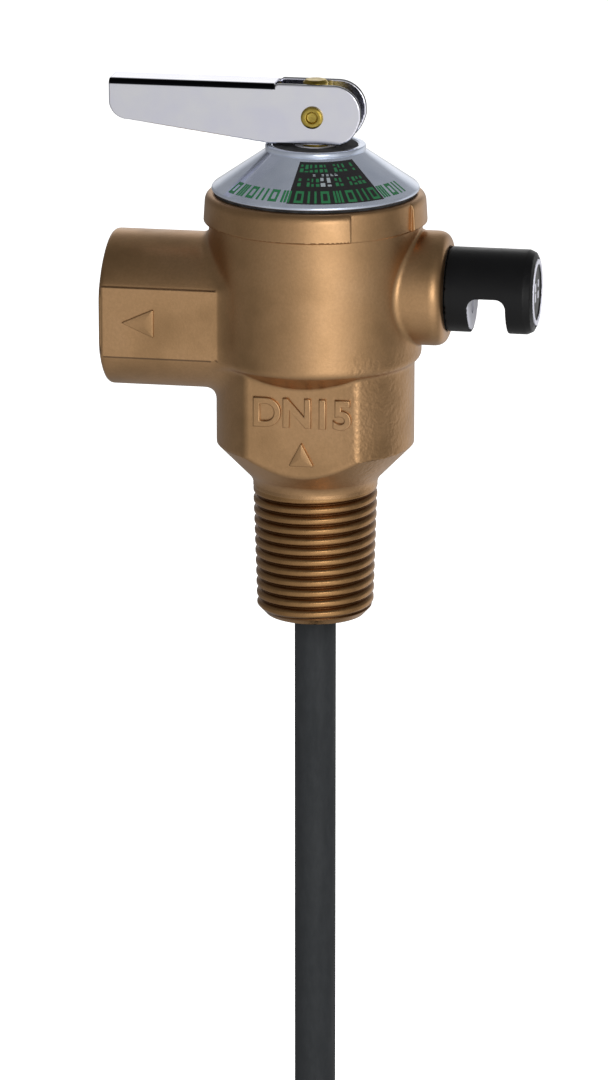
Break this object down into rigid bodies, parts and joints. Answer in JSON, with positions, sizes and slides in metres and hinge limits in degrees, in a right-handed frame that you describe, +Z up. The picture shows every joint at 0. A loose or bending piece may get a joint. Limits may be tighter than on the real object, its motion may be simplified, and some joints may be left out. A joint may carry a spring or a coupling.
{
  "type": "pressure relief valve",
  "caption": "Angle-pattern temperature and pressure relief valve: threaded inlet with long probe, side outlet port, vent nozzle and a lift-to-test lever on a domed cap.",
  "frame": {"origin": "centre of the lower end of the inlet thread, on the valve's vertical axis", "axes": "+Z up along the stem, from the inlet towards the test lever; -X out of the outlet port; +X out of the vent nozzle; -Y is the front wrench flat"},
  "size_m": [0.0719, 0.0372, 0.1934],
  "materials": {
    "cast_brass": "as-cast dezincification-resistant brass, fine grained, satin",
    "turned_brass": "turned, bright",
    "chromed_steel": "pressed sheet, bright chrome plated",
    "spring_steel": "stainless, drawn or stamped",
    "black_plastic": "moulded glass-filled nylon, semi-gloss",
    "pale_nylon": "moulded, natural pale colour",
    "seal_rubber": "matte",
    "coated_tube": "dark epoxy coating, satin",
    "label_film": "printed film, satin"
  },
  "bodies": {
    "body": {"valve_body": "cast_brass", "bonnet_cap": "chromed_steel", "bonnet_gasket": "seal_rubber", "spring_top_seat": "spring_steel", "stem_bush": "pale_nylon", "stem_seal": "seal_rubber", "cap_label": "label_film", "probe_guide": "turned_brass", "guide_ring": "spring_steel", "probe_tube": "coated_tube", "probe_tip": "coated_tube", "wax_capsule": "turned_brass", "vent_nozzle": "black_plastic", "vent_oring": "seal_rubber", "vent_insert": "pale_nylon", "nozzle_end_ring": "pale_nylon", "main_spring": "spring_steel", "vent_spring": "spring_steel"},
    "stem": {"stem": "turned_brass", "valve_disc": "turned_brass", "disc_seal": "seal_rubber", "seal_washer": "spring_steel", "seal_nut": "turned_brass", "spring_bottom_seat": "spring_steel", "spring_clip": "spring_steel"},
    "lever": {"test_lever": "chromed_steel", "pivot_pin": "turned_brass"},
    "push_rod": {"push_rod": "spring_steel"},
    "vent_poppet": {"vent_poppet": "turned_brass", "poppet_seal": "seal_rubber"}
  },
  "joints": [
    {"name": "stem_lift", "type": "slide", "parent": "body", "child": "stem", "axis": [0, 0, 1], "range_m": [0, 0.0043], "deforming": ["main_spring"]},
    {"name": "lever_pivot", "type": "hinge", "parent": "stem", "child": "lever", "pos_m": [0, 0, 0.08557], "axis": [0, 1, 0], "range_deg": [0, 75], "stiffness_Nm_per_rad": 0.02, "springref_deg": -28.65},
    {"name": "rod_push", "type": "slide", "parent": "body", "child": "push_rod", "axis": [0, 0, 1], "range_m": [0, 0.0043]},
    {"name": "vent_lift", "type": "slide", "parent": "body", "child": "vent_poppet", "axis": [1, 0, 0], "range_m": [0, 0.0015], "stiffness_N_per_m": 300, "springref_m": -0.002, "deforming": ["vent_spring"]}
  ],
  "couplings": [
    {"joint": "stem_lift", "follows": "lever_pivot", "m_per_rad": 0.0032},
    {"joint": "rod_push", "follows": "lever_pivot", "m_per_rad": 0.0032}
  ]
}
